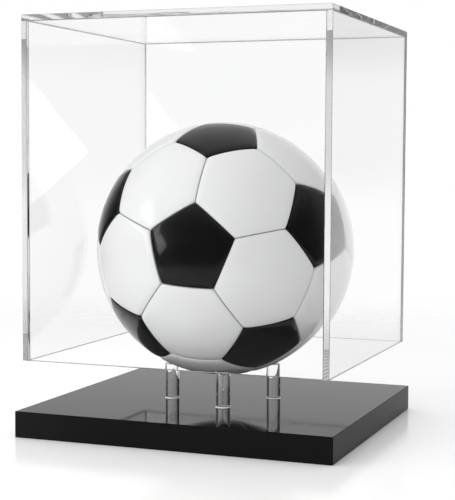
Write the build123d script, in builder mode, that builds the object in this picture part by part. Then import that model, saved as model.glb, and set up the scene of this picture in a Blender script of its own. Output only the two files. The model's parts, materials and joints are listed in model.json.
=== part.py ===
from build123d import *

import os
from math import acos, cos, pi, sqrt, tan

# Display case for one football: a black base with four clear posts, a ball that rests
# on the posts, and a clear five-sided cover that lifts straight off.
# Millimetres, +Z up, the front faces -Y, origin at the middle of the base's underside.

# Ball: size 5, held clear of the base
BALL_DIAMETER = 220.0
BALL_RISE = 22.0
PANEL_THICKNESS = 2.6
PANEL_EDGE_ROUND = 1.1
SEAM_WIDTH = 0.4
BLADDER_GAP = 0.3
BLADDER_WALL = 0.6

# How the ball lies on its posts: turns about X, then the turned Y, then the turned Z
BALL_X_ANGLE = -69.0
BALL_Y_ANGLE = 14.0
BALL_Z_ANGLE = 38.2

# Room between the ball and the cover: to each side, to front and rear, and over the
# ball when the cover stands on the base
SIDE_CLEARANCE = 17.5
END_CLEARANCE = 5.0
HEADROOM = 38.0

# Cover, in the pose where it is held this far above the base
SHEET_THICKNESS = 5.0
COVER_LIFT = 42.0

# Base slab, which stands out past the cover by the margin
BASE_HEIGHT = 22.0
BASE_MARGIN = 5.0
BASE_ARRIS = 0.6

# Valve, in the white panel that faces this way
VALVE_FACING = Vector(-0.2, 1.0, 0.15)
VALVE_DIAMETER = 7.0
VALVE_FIT_GAP = 0.05
VALVE_RECESS = 0.3
VALVE_FLANGE_DIAMETER = 18.0
VALVE_FLANGE_THICKNESS = 1.6
VALVE_PIN_HOLE = 1.8
VALVE_PIN_DEPTH = 6.0

# Posts, a quarter turn apart round the ball's axis
POST_NAMES = ("front", "right", "rear", "left")
POST_DIAMETER = 12.0
POST_CIRCLE_DIAMETER = 89.0
POST_FRONT_ANGLE = -69.0
POST_CHAMFER = 0.5
POST_DISH_DEPTH = 2.0
POST_SEAT_GAP = 0.3

# Values that follow from the ones above
cover_width = BALL_DIAMETER + 2 * (SIDE_CLEARANCE + SHEET_THICKNESS)
cover_depth = BALL_DIAMETER + 2 * (END_CLEARANCE + SHEET_THICKNESS)
cover_bottom = BASE_HEIGHT + COVER_LIFT
wall_height = BALL_RISE + BALL_DIAMETER + HEADROOM
base_width = cover_width + 2 * BASE_MARGIN
base_depth = cover_depth + 2 * BASE_MARGIN
ball_radius = BALL_DIAMETER / 2
panel_inner_radius = ball_radius - PANEL_THICKNESS
bladder_radius = panel_inner_radius - BLADDER_GAP
bladder_inner_radius = bladder_radius - BLADDER_WALL
ball_centre = Vector(0, 0, BASE_HEIGHT + BALL_RISE + ball_radius)
ball_turn = (BALL_X_ANGLE, BALL_Y_ANGLE, BALL_Z_ANGLE)
ball_frame = Plane(Location(ball_centre, ball_turn))

# The ball's underside rises this far from its lowest point to a post's inner side
post_inner_radius = (POST_CIRCLE_DIAMETER - POST_DIAMETER) / 2
ball_curve_rise = ball_radius - sqrt(ball_radius**2 - post_inner_radius**2)
post_height = BALL_RISE + ball_curve_rise + POST_DISH_DEPTH

os.makedirs("parts", exist_ok=True)


def finish(solid, label):
    """Label a finished piece and write it to its own file."""
    solid.label = label
    export_step(solid, f"parts/{label}.step")


# Base slab with a fine polished arris on every edge
with BuildPart() as base_slab:
    with BuildSketch():
        Rectangle(base_width, base_depth)
    extrude(amount=BASE_HEIGHT)
    chamfer(base_slab.edges(), BASE_ARRIS)
finish(base_slab.part, "base_slab")


# Posts: clear rods, chamfered at the foot, with a dished end that follows the ball
def build_post(angle):
    """Make the post that stands at this angle on the post circle."""
    with BuildPart() as post:
        with BuildSketch(Plane.XY.offset(BASE_HEIGHT)):
            with PolarLocations(POST_CIRCLE_DIAMETER / 2, 1, start_angle=angle):
                Circle(POST_DIAMETER / 2)
        extrude(amount=post_height)
        chamfer(post.faces().sort_by(Axis.Z)[0].edges(), POST_CHAMFER)
        chamfer(post.faces().sort_by(Axis.Z)[-1].edges(), POST_CHAMFER)
        with Locations(ball_centre):
            Sphere(ball_radius + POST_SEAT_GAP, mode=Mode.SUBTRACT)
    return post.part


post_step = 360 / len(POST_NAMES)
for number, side in enumerate(POST_NAMES):
    finish(build_post(POST_FRONT_ANGLE + number * post_step), f"post_{side}")


# Cover walls: the side sheets run the full depth, front and rear stand between them
def build_wall(width, depth, centre_x, centre_y):
    """Make one upright sheet of the cover from its size and its middle in plan."""
    with BuildPart() as wall:
        with BuildSketch(Plane.XY.offset(cover_bottom)):
            with Locations((centre_x, centre_y)):
                Rectangle(width, depth)
        extrude(amount=wall_height)
    return wall.part


side_wall_x = (cover_width - SHEET_THICKNESS) / 2
end_wall_y = (cover_depth - SHEET_THICKNESS) / 2
end_wall_width = cover_width - 2 * SHEET_THICKNESS
for side, x in (("left", -side_wall_x), ("right", side_wall_x)):
    finish(build_wall(SHEET_THICKNESS, cover_depth, x, 0), f"cover_{side}_panel")
for side, y in (("front", -end_wall_y), ("rear", end_wall_y)):
    finish(build_wall(end_wall_width, SHEET_THICKNESS, 0, y), f"cover_{side}_panel")

# Cover top, lying on all four walls
with BuildPart() as cover_top_panel:
    with BuildSketch(Plane.XY.offset(cover_bottom + wall_height)):
        Rectangle(cover_width, cover_depth)
    extrude(amount=SHEET_THICKNESS)
finish(cover_top_panel.part, "cover_top_panel")


# Ball layout: the pentagons are centred on the twelve corners of an icosahedron
golden = (1 + sqrt(5)) / 2
hubs = []
for short in (-1, 1):
    for long in (-golden, golden):
        for corner in ((0, short, long), (short, long, 0), (long, 0, short)):
            tip = ball_frame.from_local_coords(Vector(*corner).normalized())
            hubs.append(tip - ball_centre)
hubs.sort(key=lambda hub: -hub.Z)
neighbour_angle = acos(1 / sqrt(5))


def are_neighbours(first, second):
    """Tell whether two corners of the icosahedron share an edge."""
    return abs(acos(max(-1, min(1, first.dot(second)))) - neighbour_angle) < 0.01


def seam_corner(near, far):
    """Give the direction of the seam corner a third of the way along an edge."""
    return (near * 2 + far).normalized()


# Each panel as (middle, one of its corners, number of sides), in directions from the ball's centre
pentagons = []
for hub in hubs:
    partner = [other for other in hubs if are_neighbours(hub, other)][0]
    pentagons.append((hub, seam_corner(hub, partner), 5))
hexagons = []
for a, first in enumerate(hubs):
    for b, second in enumerate(hubs[a + 1 :], a + 1):
        for third in hubs[b + 1 :]:
            pairs = ((first, second), (second, third), (first, third))
            if all(are_neighbours(*pair) for pair in pairs):
                middle = (first + second + third).normalized()
                hexagons.append((middle, seam_corner(first, second), 6))
hexagons.sort(key=lambda panel: -panel[0].Z)
valve_panel = max(hexagons, key=lambda panel: panel[0].dot(VALVE_FACING))
valve_frame = Plane(origin=ball_centre, z_dir=valve_panel[0])


def build_panel(middle, corner, sides, has_valve):
    """Make one ball panel: a regular polygon of shell with a rounded outer edge."""
    frame = Plane(origin=ball_centre, x_dir=corner - middle, z_dir=middle)
    spread = middle.get_angle(corner) * pi / 180
    low = (panel_inner_radius - PANEL_THICKNESS) * cos(spread)
    high = ball_radius + PANEL_THICKNESS
    inset = SEAM_WIDTH / 2 / cos(pi / sides)
    with BuildPart(frame) as panel:
        for height in (low, high):
            with BuildSketch(frame.offset(height)):
                RegularPolygon(height * tan(spread) - inset, sides)
        loft()
        Sphere(ball_radius, mode=Mode.INTERSECT)
        Sphere(panel_inner_radius, mode=Mode.SUBTRACT)
        outside = panel.faces().filter_by(GeomType.SPHERE).sort_by(SortBy.AREA)[-1]
        fillet(outside.edges(), PANEL_EDGE_ROUND)
        if has_valve:
            Cylinder(VALVE_DIAMETER / 2 + VALVE_FIT_GAP, 2 * high, mode=Mode.SUBTRACT)
    return panel.part


for kind, panels in (("pentagon", pentagons), ("hexagon", hexagons)):
    for number, panel in enumerate(panels, 1):
        shell = build_panel(*panel, panel is valve_panel)
        finish(shell, f"ball_{kind}_{number:02d}")

# Bladder: a thin hollow sphere with a hole for the valve's neck
with BuildPart(valve_frame) as ball_bladder:
    Sphere(bladder_radius)
    Sphere(bladder_inner_radius, mode=Mode.SUBTRACT)
    with Locations((0, 0, bladder_radius)):
        Cylinder(
            VALVE_DIAMETER / 2 + VALVE_FIT_GAP,
            BLADDER_WALL * 4,
            mode=Mode.SUBTRACT,
        )
finish(ball_bladder.part, "ball_bladder")

# Valve: a flange under the bladder wall and a neck out to just below the panel's face
flange_top = bladder_inner_radius - VALVE_FIT_GAP
neck_top = ball_radius - VALVE_RECESS
with BuildPart(valve_frame) as ball_valve:
    with BuildSketch(valve_frame.offset(flange_top)):
        Circle(VALVE_FLANGE_DIAMETER / 2)
    extrude(amount=-VALVE_FLANGE_THICKNESS)
    Sphere(flange_top, mode=Mode.INTERSECT)
    with BuildSketch(valve_frame.offset(neck_top)):
        Circle(VALVE_DIAMETER / 2)
    extrude(amount=flange_top - VALVE_FLANGE_THICKNESS - neck_top)
    with BuildSketch(valve_frame.offset(neck_top)):
        Circle(VALVE_PIN_HOLE / 2)
    extrude(amount=-VALVE_PIN_DEPTH, mode=Mode.SUBTRACT)
finish(ball_valve.part, "ball_valve")
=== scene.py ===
"""Display case for one football, dressed for the camera.

A gloss black slab carries four clear rods, a leather ball rests on the rods, and
a clear five-sided cover is held above the slab. Lengths are in metres.
"""

import json
import logging
from dataclasses import dataclass
from enum import Enum
from itertools import combinations
from math import acos, asin, cos, exp, log, pi, radians, sin, sqrt, tan
from typing import Any, Callable, Optional

import bpy
from mathutils import Matrix, Vector

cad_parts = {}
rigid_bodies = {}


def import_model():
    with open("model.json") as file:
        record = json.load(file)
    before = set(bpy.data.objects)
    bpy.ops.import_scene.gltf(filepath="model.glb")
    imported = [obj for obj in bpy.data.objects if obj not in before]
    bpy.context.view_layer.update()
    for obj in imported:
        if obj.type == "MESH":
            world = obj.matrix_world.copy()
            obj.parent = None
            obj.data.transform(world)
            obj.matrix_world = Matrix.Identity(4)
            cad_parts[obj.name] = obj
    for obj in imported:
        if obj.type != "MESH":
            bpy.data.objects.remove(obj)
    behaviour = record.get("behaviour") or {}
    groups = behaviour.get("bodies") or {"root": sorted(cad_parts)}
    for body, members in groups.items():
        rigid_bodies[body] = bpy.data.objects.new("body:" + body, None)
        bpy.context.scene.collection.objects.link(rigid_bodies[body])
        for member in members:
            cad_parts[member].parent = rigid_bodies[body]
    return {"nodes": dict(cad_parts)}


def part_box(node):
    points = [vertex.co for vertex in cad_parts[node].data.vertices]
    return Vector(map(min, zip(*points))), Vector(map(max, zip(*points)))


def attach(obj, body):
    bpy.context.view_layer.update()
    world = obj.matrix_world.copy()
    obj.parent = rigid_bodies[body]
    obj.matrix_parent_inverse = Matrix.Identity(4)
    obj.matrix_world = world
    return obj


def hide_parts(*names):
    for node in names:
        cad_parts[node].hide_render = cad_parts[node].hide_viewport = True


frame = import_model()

report = logging.getLogger("display_case")

MM = 0.001
BALL_RADIUS = 110.0 * MM
BALL_CENTRE = Vector((0.0, 0.0, 154.0 * MM))

Colour = tuple[float, float, float]
Span = tuple[float, float]


class Body(Enum):
    """The bodies that pieces ride on."""

    BASE = "base"
    COVER = "cover"
    BALL = "ball"


class Slot(Enum):
    """The record's material slots, one named for each new piece."""

    BLACK_ACRYLIC = "black_acrylic"
    CLEAR_SHEET = "clear_sheet"
    CLEAR_ROD = "clear_rod"
    WHITE_LEATHER = "white_cover_leather"
    BLACK_LEATHER = "black_cover_leather"


# ---------------------------------------------------------------- shader writing


class Wire:
    """A shader socket that takes part in Python arithmetic."""

    def __init__(self, bench: "NodeBench", socket: bpy.types.NodeSocket) -> None:
        """Keep the socket and the bench that its maths nodes are added to."""
        self.bench = bench
        self.socket = socket

    def _maths(self, operation: str, first: Any, second: Any) -> "Wire":
        """Add one Math node on two numbers or wires."""
        return self.bench.add("Math", {"operation": operation}, {0: first, 1: second})

    def __add__(self, other: Any) -> "Wire":
        """Return this plus the other."""
        return self._maths("ADD", self, other)

    def __radd__(self, other: Any) -> "Wire":
        """Return the other plus this."""
        return self._maths("ADD", other, self)

    def __sub__(self, other: Any) -> "Wire":
        """Return this less the other."""
        return self._maths("SUBTRACT", self, other)

    def __rsub__(self, other: Any) -> "Wire":
        """Return the other less this."""
        return self._maths("SUBTRACT", other, self)

    def __mul__(self, other: Any) -> "Wire":
        """Return this times the other."""
        return self._maths("MULTIPLY", self, other)

    def __rmul__(self, other: Any) -> "Wire":
        """Return the other times this."""
        return self._maths("MULTIPLY", other, self)

    def __or__(self, other: Any) -> "Wire":
        """Return the greater of the two, as a union of masks."""
        return self._maths("MAXIMUM", self, other)

    def stretch(self, low: float, high: float) -> "Wire":
        """Ease from 0 at low to 1 at high, held at both ends."""
        settings = {"interpolation_type": "SMOOTHSTEP"}
        return self.bench.add("MapRange", settings, {0: self, 1: low, 2: high})


class NodeBench:
    """The node tree of one material or world, cleared and ready to fill."""

    # A Mix node has sockets for every kind of value, and these serve colours.
    MIX_MASK, MIX_OFF, MIX_ON, MIX_RESULT = 0, 6, 7, 2

    def __init__(self, tree: bpy.types.NodeTree) -> None:
        """Empty the tree."""
        self.tree = tree
        tree.nodes.clear()

    def add(
        self,
        kind: str,
        settings: Optional[dict[str, Any]] = None,
        sockets: Optional[dict[Any, Any]] = None,
        outlet: Any = 0,
    ) -> Optional[Wire]:
        """Add one node.

        Args:
            kind: the node's type, without its ShaderNode prefix.
            settings: its properties, which are set first.
            sockets: values or wires by socket name or number.
            outlet: name or number of the output that is wanted.

        Returns:
            The wanted output, or None for a node without outputs.
        """
        node = self.tree.nodes.new("ShaderNode" + kind)
        for name, value in (settings or {}).items():
            setattr(node, name, value)
        for name, value in (sockets or {}).items():
            if isinstance(value, Wire):
                self.tree.links.new(value.socket, node.inputs[name])
            elif isinstance(value, tuple) and node.inputs[name].type == "RGBA":
                node.inputs[name].default_value = (*value, 1.0)
            else:
                node.inputs[name].default_value = value
        return Wire(self, node.outputs[outlet]) if len(node.outputs) else None

    def place(self) -> Wire:
        """Return the point on the piece, in its own coordinates."""
        return self.add("TexCoord", outlet="Object")

    def axis(self, vector: Wire, name: str) -> Wire:
        """Return one coordinate of a vector."""
        return self.add("SeparateXYZ", None, {0: vector}, outlet=name)

    def noise(self, where: Wire, scale: float, detail: float = 2.0) -> Wire:
        """Return a noise of this many waves per metre."""
        sockets = {"Vector": where, "Scale": scale, "Detail": detail}
        return self.add("TexNoise", None, sockets)

    def blend(self, mask: Any, off: Any, on: Any) -> Wire:
        """Return the colour that goes from off to on as the mask rises."""
        sockets = {self.MIX_MASK: mask, self.MIX_OFF: off, self.MIX_ON: on}
        return self.add("Mix", {"data_type": "RGBA"}, sockets, outlet=self.MIX_RESULT)

    def bump(self, height: Wire, strength: float, distance: float) -> Wire:
        """Return a normal roughened by a height."""
        sockets = {"Height": height, "Strength": strength, "Distance": distance}
        return self.add("Bump", None, sockets, outlet="Normal")

    def cover_with(self, sockets: dict[str, Any]) -> None:
        """Finish the material as one opaque surface with these socket values."""
        shader = self.add("BsdfPrincipled", None, sockets)
        self.add("OutputMaterial", None, {"Surface": shader})


def new_material(name: str) -> tuple[bpy.types.Material, NodeBench]:
    """Start a material.

    Args:
        name: what it is called.

    Returns:
        The material and the bench of its cleared node tree.
    """
    material = bpy.data.materials.new(name)
    material.use_nodes = True
    return material, NodeBench(material.node_tree)


# ---------------------------------------------------------------- finishes


@dataclass(frozen=True)
class PolishedBlack:
    """Cast black acrylic, polished, with dust and hairline wiping marks."""

    name: str = "polished_black_acrylic"
    colour: Colour = (0.0065, 0.0065, 0.007)
    dust_colour: Colour = (0.020, 0.020, 0.021)
    dust_share: float = 0.5
    dust_scale: float = 2600.0
    dust_span: Span = (0.66, 0.74)
    haze_scale: float = 14.0
    haze_span: Span = (0.35, 0.75)
    wiping_scale: tuple[float, float, float] = (9.0, 900.0, 900.0)
    wiping_relief: float = 0.012
    wiping_depth: float = 0.2 * MM
    refraction: float = 1.13
    roughness: float = 0.035
    haze_roughness: float = 0.03
    wiping_roughness: float = 0.02

    def make(self) -> bpy.types.Material:
        """Build the finish.

        Returns:
            The material.
        """
        material, bench = new_material(self.name)
        where = bench.place()
        dust = bench.noise(where, self.dust_scale, detail=1.0).stretch(*self.dust_span)
        haze = bench.noise(where, self.haze_scale, detail=3.0).stretch(*self.haze_span)
        along = bench.add(
            "Mapping", None, {"Vector": where, "Scale": self.wiping_scale}
        )
        wiping = bench.noise(along, 1.0, detail=3.0)
        roughness = self.roughness + haze * self.haze_roughness
        sockets = {
            "Base Color": bench.blend(
                dust * self.dust_share, self.colour, self.dust_colour
            ),
            "Roughness": roughness + wiping * self.wiping_roughness,
            "IOR": self.refraction,
            "Normal": bench.bump(wiping, self.wiping_relief, self.wiping_depth),
        }
        bench.cover_with(sockets)
        return material


@dataclass(frozen=True)
class ClearAcrylic:
    """Water-clear acrylic that lamps shine through without caustics.

    The rim shade is painted shade: it darkens a thin band near a round piece's outline,
    standing in for the dark of the room that the real one shows there.
    """

    name: str
    colour: Colour = (0.996, 0.997, 0.997)
    cloud_colour: Colour = (0.990, 0.992, 0.992)
    cloud_scale: float = 11.0
    cloud_span: Span = (0.3, 0.8)
    rim_shade: float = 0.0
    rim_shade_colour: Colour = (0.02, 0.02, 0.02)
    rim_start: Span = (0.26, 0.38)
    rim_end: Span = (0.50, 0.62)
    refraction: float = 1.49
    glare: Colour = (0.25, 0.25, 0.25)
    lamp_colour: Colour = (0.95, 0.955, 0.953)
    waviness: float = 0.02
    wave_scale: float = 24.0
    wave_depth: float = 2.0 * MM
    murk_colour: Colour = (0.07, 0.08, 0.078)
    murk: float = 0.5

    def make(self) -> bpy.types.Material:
        """Build the finish.

        Returns:
            The material.
        """
        material, bench = new_material(self.name)
        where = bench.place()
        cloud = bench.noise(where, self.cloud_scale).stretch(*self.cloud_span)
        wave = bench.noise(where, self.wave_scale, detail=1.0)
        tint = bench.blend(cloud, self.colour, self.cloud_colour)
        # painted shade: a dark band in the tint near the outline, set by the facing
        # angle
        if self.rim_shade:
            facing = bench.add("LayerWeight", None, {"Blend": 0.5}, outlet="Facing")
            rim = facing.stretch(*self.rim_start) * (1 - facing.stretch(*self.rim_end))
            tint = bench.blend(rim * self.rim_shade, tint, self.rim_shade_colour)
        sockets = {
            "Base Color": tint,
            "Roughness": 0.0,
            "IOR": self.refraction,
            "Specular Tint": self.glare,
            "Transmission Weight": 1.0,
            "Normal": bench.bump(wave, self.waviness, self.wave_depth),
        }
        glass = bench.add("BsdfPrincipled", None, sockets)
        see_through = bench.add("BsdfTransparent", None, {"Color": self.lamp_colour})
        lamp_ray = bench.add("LightPath", outlet="Is Shadow Ray")
        bounce_ray = bench.add("LightPath", outlet="Is Diffuse Ray")
        choice = {0: lamp_ray | bounce_ray, 1: glass, 2: see_through}
        outputs = {"Surface": bench.add("MixShader", None, choice)}
        if self.murk:
            murk = {"Color": self.murk_colour, "Density": self.murk}
            outputs["Volume"] = bench.add("VolumeAbsorption", None, murk)
        bench.add("OutputMaterial", None, outputs)
        return material


@dataclass(frozen=True)
class GroundAcrylic:
    """Acrylic ground to a fine frost, which scatters the light white."""

    name: str = "ground_acrylic_edge"
    colour: Colour = (0.97, 0.97, 0.97)
    grit_colour: Colour = (0.91, 0.91, 0.91)
    grit_scale: float = 5000.0
    grit_relief: float = 0.2
    grit_depth: float = 0.1 * MM
    roughness: float = 0.45
    grit_roughness: float = 0.1

    def make(self) -> bpy.types.Material:
        """Build the finish.

        Returns:
            The material.
        """
        material, bench = new_material(self.name)
        grit = bench.noise(bench.place(), self.grit_scale)
        sockets = {
            "Base Color": bench.blend(grit, self.colour, self.grit_colour),
            "Roughness": self.roughness + grit * self.grit_roughness,
            "Normal": bench.bump(grit, self.grit_relief, self.grit_depth),
        }
        bench.cover_with(sockets)
        return material


@dataclass(frozen=True)
class CoverLeather:
    """Coated synthetic leather: fine pebble grain under a clear gloss coat, with
    painted shade darkening the rolled edges towards the seams.
    """

    name: str
    colour: Colour
    worn_colour: Colour
    seam_shade_colour: Colour
    seam_shade_span: Span = (0.35, 1.0)
    pebble_scale: float = 1100.0
    pebble_softness: float = 0.6
    pebble_share: float = 0.6
    crease_scale: float = 320.0
    crease_share: float = 0.5
    grain_relief: float = 0.06
    grain_depth: float = 0.2 * MM
    mottle_scale: float = 24.0
    mottle_span: Span = (0.3, 0.75)
    refraction: float = 1.20
    roughness: float = 0.28
    mottle_roughness: float = 0.05
    seam_roughness: float = 0.1
    coat: float = 0.70
    seam_coat_loss: float = 0.15
    coat_refraction: float = 1.33
    coat_roughness: float = 0.03

    def make(self) -> bpy.types.Material:
        """Build the finish.

        Returns:
            The material.
        """
        material, bench = new_material(self.name)
        where = bench.place()
        cells = {
            "Vector": where,
            "Scale": self.pebble_scale,
            "Smoothness": self.pebble_softness,
        }
        pebble = bench.add(
            "TexVoronoi", {"feature": "SMOOTH_F1"}, cells, outlet="Distance"
        )
        crease = bench.noise(where, self.crease_scale, detail=3.0)
        mottle = bench.noise(where, self.mottle_scale, detail=3.0)
        mottle = mottle.stretch(*self.mottle_span)
        seam = bench.add("Attribute", {"attribute_name": "seam"}, None, outlet="Fac")
        field = bench.blend(mottle, self.colour, self.worn_colour)
        grain = pebble * self.pebble_share + crease * self.crease_share
        roughness = self.roughness + mottle * self.mottle_roughness
        sockets = {
            # painted shade: the colour darkens across the rolled edge towards the seam
            "Base Color": bench.blend(
                seam.stretch(*self.seam_shade_span), field, self.seam_shade_colour
            ),
            "Roughness": roughness + seam * self.seam_roughness,
            "Coat Weight": self.coat - seam * self.seam_coat_loss,
            "Coat Roughness": self.coat_roughness,
            "Coat IOR": self.coat_refraction,
            "IOR": self.refraction,
            "Normal": bench.bump(grain, self.grain_relief, self.grain_depth),
        }
        bench.cover_with(sockets)
        return material


@dataclass(frozen=True)
class MouldedRubber:
    """Matt moulded rubber with a dusty bloom."""

    name: str
    colour: Colour
    bloom_colour: Colour
    bloom_scale: float = 160.0
    bloom_span: Span = (0.35, 0.75)
    skin_scale: float = 2400.0
    skin_relief: float = 0.15
    skin_depth: float = 0.2 * MM
    roughness: float = 0.55
    bloom_roughness: float = 0.15

    def make(self) -> bpy.types.Material:
        """Build the finish.

        Returns:
            The material.
        """
        material, bench = new_material(self.name)
        where = bench.place()
        bloom = bench.noise(where, self.bloom_scale, detail=4.0)
        bloom = bloom.stretch(*self.bloom_span)
        skin = bench.noise(where, self.skin_scale)
        sockets = {
            "Base Color": bench.blend(bloom, self.colour, self.bloom_colour),
            "Roughness": self.roughness + bloom * self.bloom_roughness,
            "Normal": bench.bump(skin, self.skin_relief, self.skin_depth),
        }
        bench.cover_with(sockets)
        return material


@dataclass(frozen=True)
class SatinFloor:
    """White laminate that fades out before its rim, with a soft gloss."""

    name: str = "satin_white_floor"
    colour: Colour = (0.96, 0.96, 0.96)
    speckle_colour: Colour = (0.95, 0.95, 0.95)
    speckle_scale: float = 700.0
    refraction: float = 1.25
    roughness: float = 0.16
    speckle_roughness: float = 0.02
    fade_span: Span = (0.45, 1.15)

    def make(self) -> bpy.types.Material:
        """Build the finish.

        Returns:
            The material.
        """
        material, bench = new_material(self.name)
        where = bench.place()
        speckle = bench.noise(where, self.speckle_scale)
        distance = bench.add(
            "VectorMath", {"operation": "LENGTH"}, {0: where}, outlet="Value"
        )
        sockets = {
            "Base Color": bench.blend(speckle, self.colour, self.speckle_colour),
            "Roughness": self.roughness + speckle * self.speckle_roughness,
            "IOR": self.refraction,
        }
        laminate = bench.add("BsdfPrincipled", None, sockets)
        clear = bench.add("BsdfTransparent")
        fade = distance.stretch(*self.fade_span)
        shader = bench.add("MixShader", None, {0: fade, 1: laminate, 2: clear})
        bench.add("OutputMaterial", None, {"Surface": shader})
        return material


# ---------------------------------------------------------------- bench work


class Workpiece:
    """One mesh under construction, shaped with Blender's own tools."""

    def __init__(self, name: str) -> None:
        """Take the primitive that was just added and name it.

        Args:
            name: the name of the object and its mesh.
        """
        self.piece = bpy.context.active_object
        self.piece.name = name
        self.piece.data.name = name

    @staticmethod
    def clear_selection() -> None:
        """Deselect every object."""
        for other in bpy.context.view_layer.objects:
            other.select_set(False)

    @classmethod
    def block(cls, name: str, low: Vector, high: Vector) -> "Workpiece":
        """Start from a block between two corners.

        Args:
            name: the piece's name.
            low: its corner with the lowest coordinates.
            high: its corner with the highest.

        Returns:
            The block.
        """
        cls.clear_selection()
        middle = (Vector(low) + Vector(high)) / 2
        bpy.ops.mesh.primitive_cube_add(size=1.0, location=middle)
        work = cls(name)
        work.piece.scale = Vector(high) - Vector(low)
        return work.settle()

    def settle(self) -> "Workpiece":
        """Put the object's place, turn and size into its mesh.

        Returns:
            This workpiece.
        """
        bpy.context.view_layer.update()
        self.piece.data.transform(self.piece.matrix_world)
        self.piece.matrix_world = Matrix.Identity(4)
        return self

    def select_alone(self) -> None:
        """Make this the one selected and active object."""
        self.clear_selection()
        self.piece.select_set(True)
        bpy.context.view_layer.objects.active = self.piece

    def edit(self) -> "Workpiece":
        """Enter edit mode on this piece alone.

        Returns:
            This workpiece.
        """
        self.select_alone()
        bpy.ops.object.mode_set(mode="EDIT")
        return self

    def leave(self) -> "Workpiece":
        """Go back to object mode."""
        bpy.ops.object.mode_set(mode="OBJECT")
        return self

    def pick_all(self) -> "Workpiece":
        """Select the whole mesh, in edit mode."""
        bpy.ops.mesh.select_all(action="SELECT")
        return self

    def pick_faces(self, wanted: Callable[[Any], bool]) -> "Workpiece":
        """Select the faces that pass the test and no others, in edit mode.

        Args:
            wanted: the test of one face.

        Returns:
            This workpiece.
        """
        bpy.ops.mesh.select_mode(type="FACE")
        bpy.ops.mesh.select_all(action="DESELECT")
        self.leave()
        for face in self.piece.data.polygons:
            face.select = wanted(face)
        return self.edit()

    def ease_edges(self, width: float, segments: int) -> "Workpiece":
        """Round the selected edges, in edit mode."""
        bpy.ops.mesh.bevel(
            offset=width, segments=segments, profile=0.5, affect="EDGES"
        )
        return self

    def modify(self, kind: str, **settings: Any) -> "Workpiece":
        """Add one modifier, set it and apply it.

        Args:
            kind: the modifier's type.
            settings: its properties, set in this order.

        Returns:
            This workpiece.
        """
        self.select_alone()
        modifier = self.piece.modifiers.new(kind.title(), kind)
        for name, value in settings.items():
            setattr(modifier, name, value)
        bpy.ops.object.modifier_apply(modifier=modifier.name)
        return self

    def wrap(self, radius: float, **settings: Any) -> "Workpiece":
        """Draw the points onto a ball of this radius."""
        return self.modify(
            "CAST",
            cast_type="SPHERE",
            factor=1.0,
            size=radius,
            use_radius_as_size=False,
            **settings,
        )

    def cut_away(self, cutter: "Workpiece") -> "Workpiece":
        """Cut the other piece's shape out of this one and discard the other.

        Args:
            cutter: the other piece.

        Returns:
            This workpiece.
        """
        self.modify(
            "BOOLEAN", operation="DIFFERENCE", solver="EXACT", object=cutter.piece
        )
        bpy.data.objects.remove(cutter.piece)
        return self

    def smooth(self, angle: float) -> "Workpiece":
        """Shade smooth, keeping the sharp edges.

        Args:
            angle: the turn, in radians, past which an edge stays sharp.

        Returns:
            This workpiece.
        """
        self.select_alone()
        bpy.ops.object.shade_smooth_by_angle(angle=angle)
        return self

    def flatten_faces(self) -> "Workpiece":
        """Keep the large faces flat and let only the eased edges turn the light."""
        return self.modify("WEIGHTED_NORMAL", weight=100, keep_sharp=True)

    def mount(
        self,
        body: Body,
        slot: Slot,
        material: bpy.types.Material,
        *nodes: str,
    ) -> None:
        """Dress the finished piece and hang it on its body.

        Args:
            body: the body that it rides on.
            slot: the record's slot that its finish comes from; not used.
            material: its finish.
            nodes: the CAD nodes that it stands for.
        """
        self.piece.data.materials.clear()
        self.piece.data.materials.append(material)
        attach(self.piece, body.value)
        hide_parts(*nodes)
        faces = len(self.piece.data.polygons)
        report.info("%s: %d faces, on %s", self.piece.name, faces, body.value)

    def dress_faces(
        self, material: bpy.types.Material, wanted: Callable[[Any], bool]
    ) -> None:
        """Give a second finish to the faces that pass the test.

        Args:
            material: the second finish.
            wanted: the test of one face.
        """
        self.piece.data.materials.append(material)
        for face in self.piece.data.polygons:
            face.material_index = int(wanted(face))


def dress_node(node: str, material: bpy.types.Material) -> None:
    """Give a CAD node a finish in place of its plain one.

    Args:
        node: the node's name.
        material: its finish.
    """
    slots = frame["nodes"][node].data.materials
    slots.clear()
    slots.append(material)
    report.info("%s: dressed with %s", node, material.name)


# ---------------------------------------------------------------- base


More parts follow.
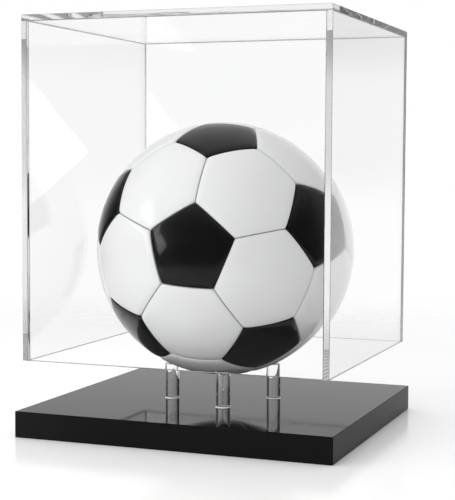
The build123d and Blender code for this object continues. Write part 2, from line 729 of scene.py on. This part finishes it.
@dataclass
class Base:
    """The gloss black slab and the four clear rods that stand on it."""

    slab_arris: float = 0.6 * MM
    slab_crease: float = radians(40.0)
    rod_names: tuple[str, ...] = ("front", "right", "rear", "left")
    rod_diameter: float = 12.0 * MM
    rod_circle: float = 89.0 * MM
    first_rod_angle: float = radians(-69.0)
    rod_facets: int = 96
    rod_crease: float = radians(30.0)
    rod_chamfer: float = 0.6 * MM
    glued_depth: float = 0.06 * MM
    bead_height: float = 0.9 * MM
    bead_width: float = 0.6 * MM
    dish_radius: float = 110.3 * MM
    level_normal: float = 0.9
    leaning_normal: float = 0.2

    def build(self) -> None:
        """Build and dress the slab and its rods."""
        black = PolishedBlack().make()
        clear = ClearAcrylic(
            "clear_rod_acrylic",
            # painted shade near the rods' outlines
            rim_shade=0.8,
            glare=(1.0, 1.0, 1.0),
            waviness=0.0,
            murk=0.0,
        ).make()
        ground = GroundAcrylic().make()
        self.build_slab(black)
        for number, name in enumerate(self.rod_names):
            angle = self.first_rod_angle + number * 2 * pi / len(self.rod_names)
            self.build_rod(name, angle, clear, ground)

    def build_slab(self, black: bpy.types.Material) -> None:
        """Saw the slab to size and round its arrises.

        Args:
            black: its finish.
        """
        low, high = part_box("base_slab")
        slab = Workpiece.block("slab", low, high).edit().pick_all()
        slab.ease_edges(self.slab_arris, segments=3).leave()
        slab.smooth(self.slab_crease).flatten_faces()
        slab.mount(Body.BASE, Slot.BLACK_ACRYLIC, black, "base_slab")
        dress_node("base_slab", black)

    def build_rod(
        self,
        name: str,
        angle: float,
        clear: bpy.types.Material,
        ground: bpy.types.Material,
    ) -> None:
        """Turn one rod, with a chamfered top, a bead of glue at its foot and a dish.

        Args:
            name: which rod.
            angle: where it stands on the rod circle.
            clear: its finish.
            ground: the finish of its chamfer and bead.
        """
        node = f"post_{name}"
        low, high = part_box(node)
        foot, top = low.z - self.glued_depth, high.z
        centre = Vector((cos(angle), sin(angle), 0.0)) * self.rod_circle / 2
        Workpiece.clear_selection()
        bpy.ops.mesh.primitive_cylinder_add(
            vertices=self.rod_facets,
            radius=self.rod_diameter / 2,
            depth=top - foot,
            location=(centre.x, centre.y, (top + foot) / 2),
        )
        rod = Workpiece(f"rod_{name}").settle().edit().pick_all()
        bead_top = (0.0, 0.0, low.z + self.bead_height)
        bpy.ops.mesh.bisect(plane_co=bead_top, plane_no=(0.0, 0.0, 1.0))
        rod.pick_faces(lambda face: face.normal.z > self.level_normal)
        rod.ease_edges(self.rod_chamfer, segments=2)
        rod.pick_faces(lambda face: face.normal.z < -self.level_normal)
        flare = 1.0 + self.bead_width / (self.rod_diameter / 2)
        bpy.ops.transform.resize(value=(flare, flare, 1.0), center_override=centre)
        rod.leave()
        self.grind_dish(rod)
        rod.smooth(self.rod_crease).flatten_faces()
        rod.mount(Body.BASE, Slot.CLEAR_ROD, clear, node)
        rod.dress_faces(
            ground,
            lambda face: self.leaning_normal < face.normal.z < self.level_normal,
        )
        dress_node(node, clear)

    def grind_dish(self, rod: Workpiece) -> None:
        """Cut the rod's top with a ball-shaped grinding head.

        Args:
            rod: the rod, in its place.
        """
        Workpiece.clear_selection()
        bpy.ops.mesh.primitive_uv_sphere_add(
            segments=256, ring_count=128, radius=self.dish_radius, location=BALL_CENTRE
        )
        rod.cut_away(Workpiece("grinding_head").settle())


# ---------------------------------------------------------------- cover


@dataclass
class Cover:
    """Five clear sheets, bonded edge to face, with polished edges tinted grey as
    painted shade.
    """

    sides: tuple[str, ...] = ("top", "front", "rear", "left", "right")
    joint_gap: float = 0.04 * MM
    edge_polish: float = 0.35 * MM
    edge_crease: float = radians(40.0)
    square_normal: float = 0.99
    # painted shade: the grey tint of the eased edges, which draws dark lines along the
    # sheets
    arris_shade_colour: Colour = (0.55, 0.56, 0.56)
    arris_cloud_shade_colour: Colour = (0.45, 0.46, 0.46)

    def build(self) -> None:
        """Cut and polish the five sheets."""
        clear = ClearAcrylic("clear_sheet_acrylic").make()
        # painted shade: the eased edges get a grey tint
        arris = ClearAcrylic(
            "clear_sheet_arris_shade",
            colour=self.arris_shade_colour,
            cloud_colour=self.arris_cloud_shade_colour,
        ).make()
        for side in self.sides:
            self.build_sheet(side, clear, arris)

    def build_sheet(
        self, side: str, clear: bpy.types.Material, arris: bpy.types.Material
    ) -> None:
        """Cut one sheet short of its neighbours by the joint's gap, and polish it.

        Args:
            side: which sheet.
            clear: its finish.
            arris: the finish of its eased edges, tinted grey as painted shade.
        """
        node = f"cover_{side}_panel"
        low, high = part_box(node)
        if side in ("front", "rear"):
            low.x += self.joint_gap
            high.x -= self.joint_gap
        if side != "top":
            high.z -= self.joint_gap
        sheet = Workpiece.block(f"sheet_{side}", low, high).edit().pick_all()
        sheet.ease_edges(self.edge_polish, segments=2).leave()
        sheet.smooth(self.edge_crease).flatten_faces()
        sheet.mount(Body.COVER, Slot.CLEAR_SHEET, clear, node)
        sheet.dress_faces(
            arris,
            lambda face: max(abs(part) for part in face.normal) < self.square_normal,
        )
        dress_node(node, clear)


# ---------------------------------------------------------------- ball


@dataclass
class BallPanel:
    """One kind of panel, made once at the top of the ball and then copied.

    The rim steps are the distances from the seam, in millimetres, of the rows of
    points along the rim, and the flat stretch widens them for the flat blank.
    """

    sides: int
    spread: float
    roll_width: float
    ball_radius: float = BALL_RADIUS
    thickness: float = 2.6 * MM
    seam_width: float = 0.4 * MM
    edge_depth: float = 1.1 * MM
    pillow_width: float = 6.0 * MM
    pillow_depth: float = 0.85 * MM
    corner_softness: float = 0.9 * MM
    cuts: int = 19
    rim_steps: tuple[float, ...] = (2.2, 1.6, 1.1, 0.7, 0.4, 0.18, 0.0)
    flat_stretch: float = 1.08

    def stamp(self, name: str) -> Workpiece:
        """Cut the blank, wrap it on the ball, give it a wall and roll its edges.

        Args:
            name: the pattern piece's name.

        Returns:
            The pattern piece, whose middle is on +Z and a corner on +X.
        """
        blank = self.cut_blank(name).wrap(self.ball_radius)
        self.add_back(blank)
        self.mark_edges(blank)
        deepest_radius = self.ball_radius - self.edge_depth - self.pillow_depth
        return blank.wrap(deepest_radius, vertex_group="roll")

    def cut_blank(self, name: str) -> Workpiece:
        """Cut the flat blank with a fine grid and closer rows along its rim.

        Args:
            name: the pattern piece's name.

        Returns:
            The blank, at the height of the panel's corners.
        """
        height = self.ball_radius * cos(self.spread)
        apothem = height * tan(self.spread) * cos(pi / self.sides)
        apothem -= self.seam_width / 2
        rows = [apothem - step * MM * self.flat_stretch for step in self.rim_steps]
        Workpiece.clear_selection()
        bpy.ops.mesh.primitive_circle_add(
            vertices=self.sides,
            radius=rows[0] / cos(pi / self.sides),
            fill_type="NGON",
            location=(0.0, 0.0, height),
            rotation=(0.0, 0.0, -pi / 2),
        )
        blank = Workpiece(name).settle().edit().pick_all()
        bpy.ops.mesh.poke()
        bpy.ops.mesh.subdivide(number_cuts=self.cuts)
        for size, new_size in zip(rows, rows[1:]):
            blank.pick_all()
            bpy.ops.mesh.region_to_loop()
            bpy.ops.mesh.extrude_edges_move()
            factor = new_size / size
            bpy.ops.transform.resize(
                value=(factor, factor, 1.0), center_override=(0.0, 0.0, height)
            )
        return blank.leave()

    def add_back(self, blank: Workpiece) -> None:
        """Copy the face inwards as the panel's back and close the rim.

        Args:
            blank: the face, wrapped on the ball.
        """
        blank.edit().pick_all()
        bpy.ops.mesh.duplicate()
        factor = 1.0 - self.thickness / self.ball_radius
        bpy.ops.transform.resize(
            value=(factor, factor, factor), center_override=(0.0, 0.0, 0.0)
        )
        blank.pick_all()
        bpy.ops.mesh.region_to_loop()
        bpy.ops.mesh.bridge_edge_loops()
        blank.pick_all()
        bpy.ops.mesh.normals_make_consistent(inside=False)
        blank.leave()

    def edge_distance(self, point: Vector) -> float:
        """Measure how far a point on the face is from the nearest seam.

        Args:
            point: the point, from the ball's centre.

        Returns:
            The distance along the ball's round, eased at the panel's corners.
        """
        direction = point.normalized()
        total = 0.0
        slope = tan(self.spread) * cos(pi / self.sides)
        for side in range(self.sides):
            angle = 2 * pi * (side + 0.5) / self.sides
            normal = Vector((-cos(angle), -sin(angle), slope)).normalized()
            tilt = asin(max(-1.0, min(1.0, direction.dot(normal))))
            reach = self.ball_radius * tilt
            total += exp(-(reach - self.seam_width / 2) / self.corner_softness)
        return max(0.0, -log(total) * self.corner_softness)

    def roll(self, distance: float) -> float:
        """Return 1 at the seam, falling to 0 where the rolled edge ends."""
        return max(0.0, 1.0 - distance / self.roll_width)

    def sink(self, distance: float) -> float:
        """Shape the panel's edge.

        Args:
            distance: how far a point is from the seam.

        Returns:
            How far the face lies below the ball's round there.
        """
        pillow = max(0.0, 1.0 - distance / self.pillow_width)
        rounded = 1.0 - sqrt(1.0 - self.roll(distance) ** 3)
        return self.edge_depth * rounded + self.pillow_depth * pillow**2

    def mark_edges(self, blank: Workpiece) -> None:
        """Weight the face's points by how far they sink, and mark the seam.

        Args:
            blank: the panel with its face and back.
        """
        mesh = blank.piece.data
        deepest = self.edge_depth + self.pillow_depth
        outer = self.ball_radius - self.thickness / 2
        distances = [
            self.edge_distance(vertex.co) if vertex.co.length > outer else None
            for vertex in mesh.vertices
        ]
        group = blank.piece.vertex_groups.new(name="roll")
        for number, distance in enumerate(distances):
            if distance is not None:
                group.add([number], self.sink(distance) / deepest, "REPLACE")
        seam = mesh.attributes.new("seam", "FLOAT", "POINT")
        shares = [
            1.0 if distance is None else self.roll(distance) for distance in distances
        ]
        seam.data.foreach_set("value", shares)


@dataclass(frozen=True)
class PanelKind:
    """What all the pentagons, or all the hexagons, have in common."""

    shape: str
    sides: int
    roll_width: float
    slot: Slot
    leather: CoverLeather


@dataclass
class Ball:
    """Thirty-two leather panels round a bladder, with the valve at the back."""

    x_angle: float = radians(-69.0)
    y_angle: float = radians(14.0)
    z_angle: float = radians(38.2)
    angle_tolerance: float = 0.01
    panel_crease: float = radians(38.0)
    valve_facing: Vector = Vector((-0.2, 1.0, 0.15))
    valve_hole: float = 7.1 * MM
    pentagon: PanelKind = PanelKind(
        shape="pentagon",
        sides=5,
        roll_width=1.2 * MM,
        slot=Slot.BLACK_LEATHER,
        leather=CoverLeather(
            "black_leather",
            colour=(0.0025, 0.0025, 0.0027),
            worn_colour=(0.0040, 0.0040, 0.0043),
            # painted shade along the seams
            seam_shade_colour=(0.002, 0.002, 0.002),
        ),
    )
    hexagon: PanelKind = PanelKind(
        shape="hexagon",
        sides=6,
        roll_width=1.1 * MM,
        slot=Slot.WHITE_LEATHER,
        leather=CoverLeather(
            "white_leather",
            colour=(0.80, 0.80, 0.80),
            worn_colour=(0.775, 0.775, 0.77),
            # painted shade along the seams
            seam_shade_colour=(0.70, 0.70, 0.70),
        ),
    )
    bladder_rubber: MouldedRubber = MouldedRubber(
        "latex_bladder", colour=(0.02, 0.02, 0.02), bloom_colour=(0.05, 0.05, 0.05)
    )
    valve_rubber: MouldedRubber = MouldedRubber(
        "moulded_valve", colour=(0.015, 0.015, 0.016), bloom_colour=(0.04, 0.04, 0.042)
    )

    def build(self) -> None:
        """Build the panels and dress the bladder and the valve."""
        hubs = self.hubs()
        pentagons = self.pentagons(hubs)
        hexagons = self.hexagons(hubs)
        valve_panel = max(hexagons, key=lambda panel: panel[0].dot(self.valve_facing))
        for kind, panels in ((self.pentagon, pentagons), (self.hexagon, hexagons)):
            leather = kind.leather.make()
            middle, corner = panels[0]
            blank = BallPanel(kind.sides, middle.angle(corner), kind.roll_width)
            pattern = blank.stamp(f"{kind.shape}_pattern")
            for number, panel in enumerate(panels, 1):
                has_valve = panel is valve_panel
                self.lay_panel(pattern, kind, number, panel, has_valve, leather)
            bpy.data.objects.remove(pattern.piece)
        dress_node("ball_bladder", self.bladder_rubber.make())
        dress_node("ball_valve", self.valve_rubber.make())

    def hubs(self) -> list[Vector]:
        """Turn the corners of an icosahedron as the ball lies.

        Returns:
            The directions of the twelve pentagons, highest first.
        """
        golden = (1 + sqrt(5)) / 2
        turn = (
            Matrix.Rotation(self.x_angle, 3, "X")
            @ Matrix.Rotation(self.y_angle, 3, "Y")
            @ Matrix.Rotation(self.z_angle, 3, "Z")
        )
        corners = []
        for short in (-1.0, 1.0):
            for long in (-golden, golden):
                corners += [(0, short, long), (short, long, 0), (long, 0, short)]
        tips = [turn @ Vector(corner).normalized() for corner in corners]
        return sorted(tips, key=lambda tip: -tip.z)

    def are_neighbours(self, first: Vector, second: Vector) -> bool:
        """Tell whether two pentagons have one seam between them."""
        neighbour_angle = acos(1 / sqrt(5))
        return abs(first.angle(second) - neighbour_angle) < self.angle_tolerance

    @staticmethod
    def seam_corner(near: Vector, far: Vector) -> Vector:
        """Return the corner a third of the way between two pentagons."""
        return (near * 2 + far).normalized()

    def pentagons(self, hubs: list[Vector]) -> list[tuple[Vector, Vector]]:
        """Lay out the pentagons.

        Args:
            hubs: the directions of their middles.

        Returns:
            The middle and one corner of each, highest first.
        """
        found = []
        for hub in hubs:
            partner = next(other for other in hubs if self.are_neighbours(hub, other))
            found.append((hub, self.seam_corner(hub, partner)))
        return found

    def hexagons(self, hubs: list[Vector]) -> list[tuple[Vector, Vector]]:
        """Lay out the hexagons, one between each three neighbouring pentagons.

        Args:
            hubs: the directions of the pentagons' middles.

        Returns:
            The middle and one corner of each, highest first.
        """
        found = []
        for trio in combinations(hubs, 3):
            if all(self.are_neighbours(*pair) for pair in combinations(trio, 2)):
                middle = (trio[0] + trio[1] + trio[2]).normalized()
                found.append((middle, self.seam_corner(trio[0], trio[1])))
        return sorted(found, key=lambda panel: -panel[0].z)

    def lay_panel(
        self,
        pattern: Workpiece,
        kind: PanelKind,
        number: int,
        panel: tuple[Vector, Vector],
        has_valve: bool,
        leather: bpy.types.Material,
    ) -> None:
        """Copy the pattern to its place on the ball.

        Args:
            pattern: the panel to copy.
            kind: what it has in common with the others of its shape.
            number: its number, as in the node's name.
            panel: its middle and one of its corners.
            has_valve: whether the valve comes through it.
            leather: its finish.
        """
        middle, corner = panel
        along = (corner - middle * corner.dot(middle)).normalized()
        across = middle.cross(along)
        turn = Matrix((along, across, middle)).transposed().to_4x4()
        label = f"{kind.shape}_{number:02d}"
        piece = bpy.data.objects.new(f"panel_{label}", pattern.piece.data.copy())
        bpy.context.scene.collection.objects.link(piece)
        Workpiece.clear_selection()
        bpy.context.view_layer.objects.active = piece
        work = Workpiece(piece.name)
        if has_valve:
            self.punch_valve_hole(work)
        piece.data.transform(Matrix.Translation(BALL_CENTRE) @ turn)
        work.smooth(self.panel_crease)
        node = f"ball_{label}"
        work.mount(Body.BALL, kind.slot, leather, node)
        dress_node(node, leather)

    def punch_valve_hole(self, work: Workpiece) -> None:
        """Punch the hole for the valve's neck through the middle of a panel.

        Args:
            work: the panel, before it is laid in its place.
        """
        Workpiece.clear_selection()
        bpy.ops.mesh.primitive_cylinder_add(
            vertices=64,
            radius=self.valve_hole / 2,
            depth=30.0 * MM,
            location=(0.0, 0.0, BALL_RADIUS),
        )
        work.cut_away(Workpiece("punch").settle())


# ---------------------------------------------------------------- studio


@dataclass(frozen=True)
class Room:
    """The room's light by direction: one brightness to light by, one to mirror.

    A span is where a direction's depth, height or offset to the right goes from
    no effect to full effect. Depth is -1 behind the camera and 1 straight ahead.
    """

    rear_span: Span = (-0.55, 0.35)
    lit_front: float = 0.14
    lit_rear: float = 0.86
    lit_ceiling_span: Span = (0.2, 0.9)
    lit_ceiling: float = 0.50
    mirrored_front: float = 0.06
    mirrored_backdrop: float = 0.94
    mirrored_ceiling_span: Span = (0.3, 0.9)
    mirrored_ceiling: float = 0.80
    backdrop_span: Span = (0.35, 0.95)
    backdrop_top_span: Span = (0.2, 0.8)
    backdrop_top_shade: float = 0.75
    corner_right_span: Span = (0.12, 0.30)
    corner_depth_span: Span = (0.5, 0.8)
    corner_foot_span: Span = (-0.045, 0.0)
    corner_foot_shade: float = 0.25
    corner_wall_span: Span = (0.05, 0.09)
    corner_wall_shade: float = 0.38
    once_or_more: Span = (0.2, 0.8)

    def make(self) -> bpy.types.World:
        """Build the room, which the camera itself sees as plain white.

        Returns:
            The world.
        """
        world = bpy.data.worlds.new("studio")
        world.use_nodes = True
        bench = NodeBench(world.node_tree)
        mirrored = self.mirrored_rays(bench)
        lit = self.lighting_brightness(bench)
        seen = self.mirrored_brightness(bench)
        room = lit * (1 - mirrored) + seen * mirrored
        plain = self.plain_rays(bench, mirrored)
        strength = room * (1 - plain) + plain
        colour = {"Color": (1.0, 1.0, 1.0), "Strength": strength}
        shader = bench.add("Background", None, colour)
        bench.add("OutputWorld", None, {"Surface": shader})
        return world

    def lighting_brightness(self, bench: NodeBench) -> Wire:
        """Light the part from the room.

        Args:
            bench: the world's bench.

        Returns:
            The brightness of each direction, bright behind the part.
        """
        direction = bench.add("TexCoord", outlet="Generated")
        behind = bench.axis(direction, "Y").stretch(*self.rear_span)
        above = bench.axis(direction, "Z").stretch(*self.lit_ceiling_span)
        ceiling = above * (1 - behind) * self.lit_ceiling
        return self.lit_front + behind * self.lit_rear + ceiling

    def mirrored_brightness(self, bench: NodeBench) -> Wire:
        """Show the room in gloss.

        Args:
            bench: the world's bench.

        Returns:
            The brightness of each direction, dark on the camera's side.
        """
        direction = bench.add("TexCoord", outlet="Generated")
        right, depth, height = (bench.axis(direction, name) for name in "XYZ")
        foot = height.stretch(*self.corner_foot_span) * self.corner_foot_shade
        wall = height.stretch(*self.corner_wall_span) * self.corner_wall_shade
        across = right.stretch(*self.corner_right_span)
        corner = across * depth.stretch(*self.corner_depth_span) * (foot + wall)
        top = height.stretch(*self.backdrop_top_span) * self.backdrop_top_shade
        backdrop = depth.stretch(*self.backdrop_span) * (1 - top) * (1 - corner)
        above = height.stretch(*self.mirrored_ceiling_span)
        ceiling = above * (1 - backdrop) * self.mirrored_ceiling
        return self.mirrored_front + backdrop * self.mirrored_backdrop + ceiling

    def mirrored_rays(self, bench: NodeBench) -> Wire:
        """Tell mirrored rays from those that glass lets straight through.

        Args:
            bench: the world's bench.

        Returns:
            A mask of the mirrored rays.
        """
        through = bench.add("LightPath", outlet="Is Transmission Ray")
        reflected = bench.add("LightPath", outlet="Is Glossy Ray") * (1 - through)
        depth = bench.add("LightPath", outlet="Glossy Depth")
        return reflected | depth.stretch(*self.once_or_more)

    def plain_rays(self, bench: NodeBench, mirrored: Wire) -> Wire:
        """Find the rays that come straight from the camera, also through glass.

        Args:
            bench: the world's bench.
            mirrored: the mask of the mirrored rays.

        Returns:
            A mask of the straight rays.
        """
        through = bench.add("LightPath", outlet="Is Transmission Ray")
        depth = bench.add("LightPath", outlet="Diffuse Depth")
        straight = (1 - mirrored) * (1 - depth.stretch(*self.once_or_more))
        return bench.add("LightPath", outlet="Is Camera Ray") | (through * straight)


@dataclass(frozen=True)
class Lamp:
    """One rectangular softbox that faces the ball and stays out of view.

    The lean is how far its upper end leans to the left. Only a mirrored lamp shows
    in gloss.
    """

    name: str
    place: tuple[float, float, float]
    size: tuple[float, float]
    watts: float
    mirrored: bool = False
    lean: float = 0.0
    target: tuple[float, float, float] = (0.0, 0.0, 0.15)

    def hang(self) -> None:
        """Add the lamp to the scene."""
        light = bpy.data.lights.new(self.name, "AREA")
        light.shape = "RECTANGLE"
        light.size, light.size_y = self.size
        light.energy = self.watts
        lamp = bpy.data.objects.new(self.name, light)
        bpy.context.scene.collection.objects.link(lamp)
        lamp.location = self.place
        facing = Vector(self.target) - Vector(self.place)
        aim = facing.to_track_quat("-Z", "Y").to_matrix()
        lamp.rotation_euler = (aim @ Matrix.Rotation(self.lean, 3, "Z")).to_euler()
        lamp.visible_camera = False
        lamp.visible_glossy = self.mirrored
        lamp.visible_transmission = self.mirrored


@dataclass
class Studio:
    """A white table, a white backdrop, a softbox, two soft fills and the camera."""

    image_width: float = 455.0
    focal_pixels: float = 1334.43
    sensor: float = 36.0
    clip: Span = (0.02, 20.0)
    camera_place: Vector = Vector((0.41739, -1.08865, 0.23263))
    camera_yaw: float = radians(20.817)
    camera_pitch: float = radians(3.928)
    camera_roll: float = radians(0.300)
    floor_radius: float = 1.6
    floor_level: float = -0.1 * MM
    lamps: tuple[Lamp, ...] = (
        Lamp(
            "softbox",
            place=(-0.84, -0.79, 0.49),
            size=(0.27, 0.98),
            watts=4.2,
            mirrored=True,
            lean=radians(44.0),
        ),
        Lamp("overhead", place=(-0.35, -0.25, 1.5), size=(1.2, 1.0), watts=6.3),
        Lamp("front_fill", place=(-0.1, -1.9, 0.45), size=(1.6, 0.8), watts=16.0),
    )

    def build(self) -> None:
        """Set out the floor, the world, the lamps and the camera."""
        self.build_floor()
        bpy.context.scene.world = Room().make()
        for lamp in self.lamps:
            lamp.hang()
        self.build_camera()
        self.allow_deep_glass()

    def allow_deep_glass(self) -> None:
        """Let light run far enough along the inside of a sheet to leave at its edge."""
        light_paths = bpy.context.scene.cycles
        light_paths.max_bounces = 40
        light_paths.glossy_bounces = 32
        light_paths.transmission_bounces = 24
        light_paths.transparent_max_bounces = 24

    def build_floor(self) -> None:
        """Lay the white table."""
        Workpiece.clear_selection()
        bpy.ops.mesh.primitive_circle_add(
            vertices=96,
            radius=self.floor_radius,
            fill_type="NGON",
            location=(0.0, 0.0, self.floor_level),
        )
        floor = Workpiece("table_top").settle().piece
        floor.data.materials.append(SatinFloor().make())

    def build_camera(self) -> None:
        """Set the camera at the photograph's viewing angle."""
        yaw, pitch, roll = self.camera_yaw, self.camera_pitch, self.camera_roll
        forward = Vector((-sin(yaw) * cos(pitch), cos(yaw) * cos(pitch), -sin(pitch)))
        level = Vector((cos(yaw), sin(yaw), 0.0))
        upright = level.cross(forward)
        right = level * cos(roll) + upright * sin(roll)
        up = upright * cos(roll) - level * sin(roll)
        data = bpy.data.cameras.new("camera")
        data.sensor_fit = "HORIZONTAL"
        data.sensor_width = self.sensor
        data.lens = self.focal_pixels / self.image_width * self.sensor
        data.clip_start, data.clip_end = self.clip
        camera = bpy.data.objects.new("camera", data)
        bpy.context.scene.collection.objects.link(camera)
        turn = Matrix((right, up, -forward)).transposed().to_4x4()
        camera.matrix_world = Matrix.Translation(self.camera_place) @ turn
        bpy.context.scene.camera = camera
        bpy.context.scene.view_settings.view_transform = "Standard"


def main() -> None:
    """Build the studio and the part, and report each piece."""
    logging.basicConfig(level=logging.INFO, format="%(name)s %(message)s")
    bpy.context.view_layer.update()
    Studio().build()
    Base().build()
    Ball().build()
    Cover().build()


if __name__ == "__main__":
    main()
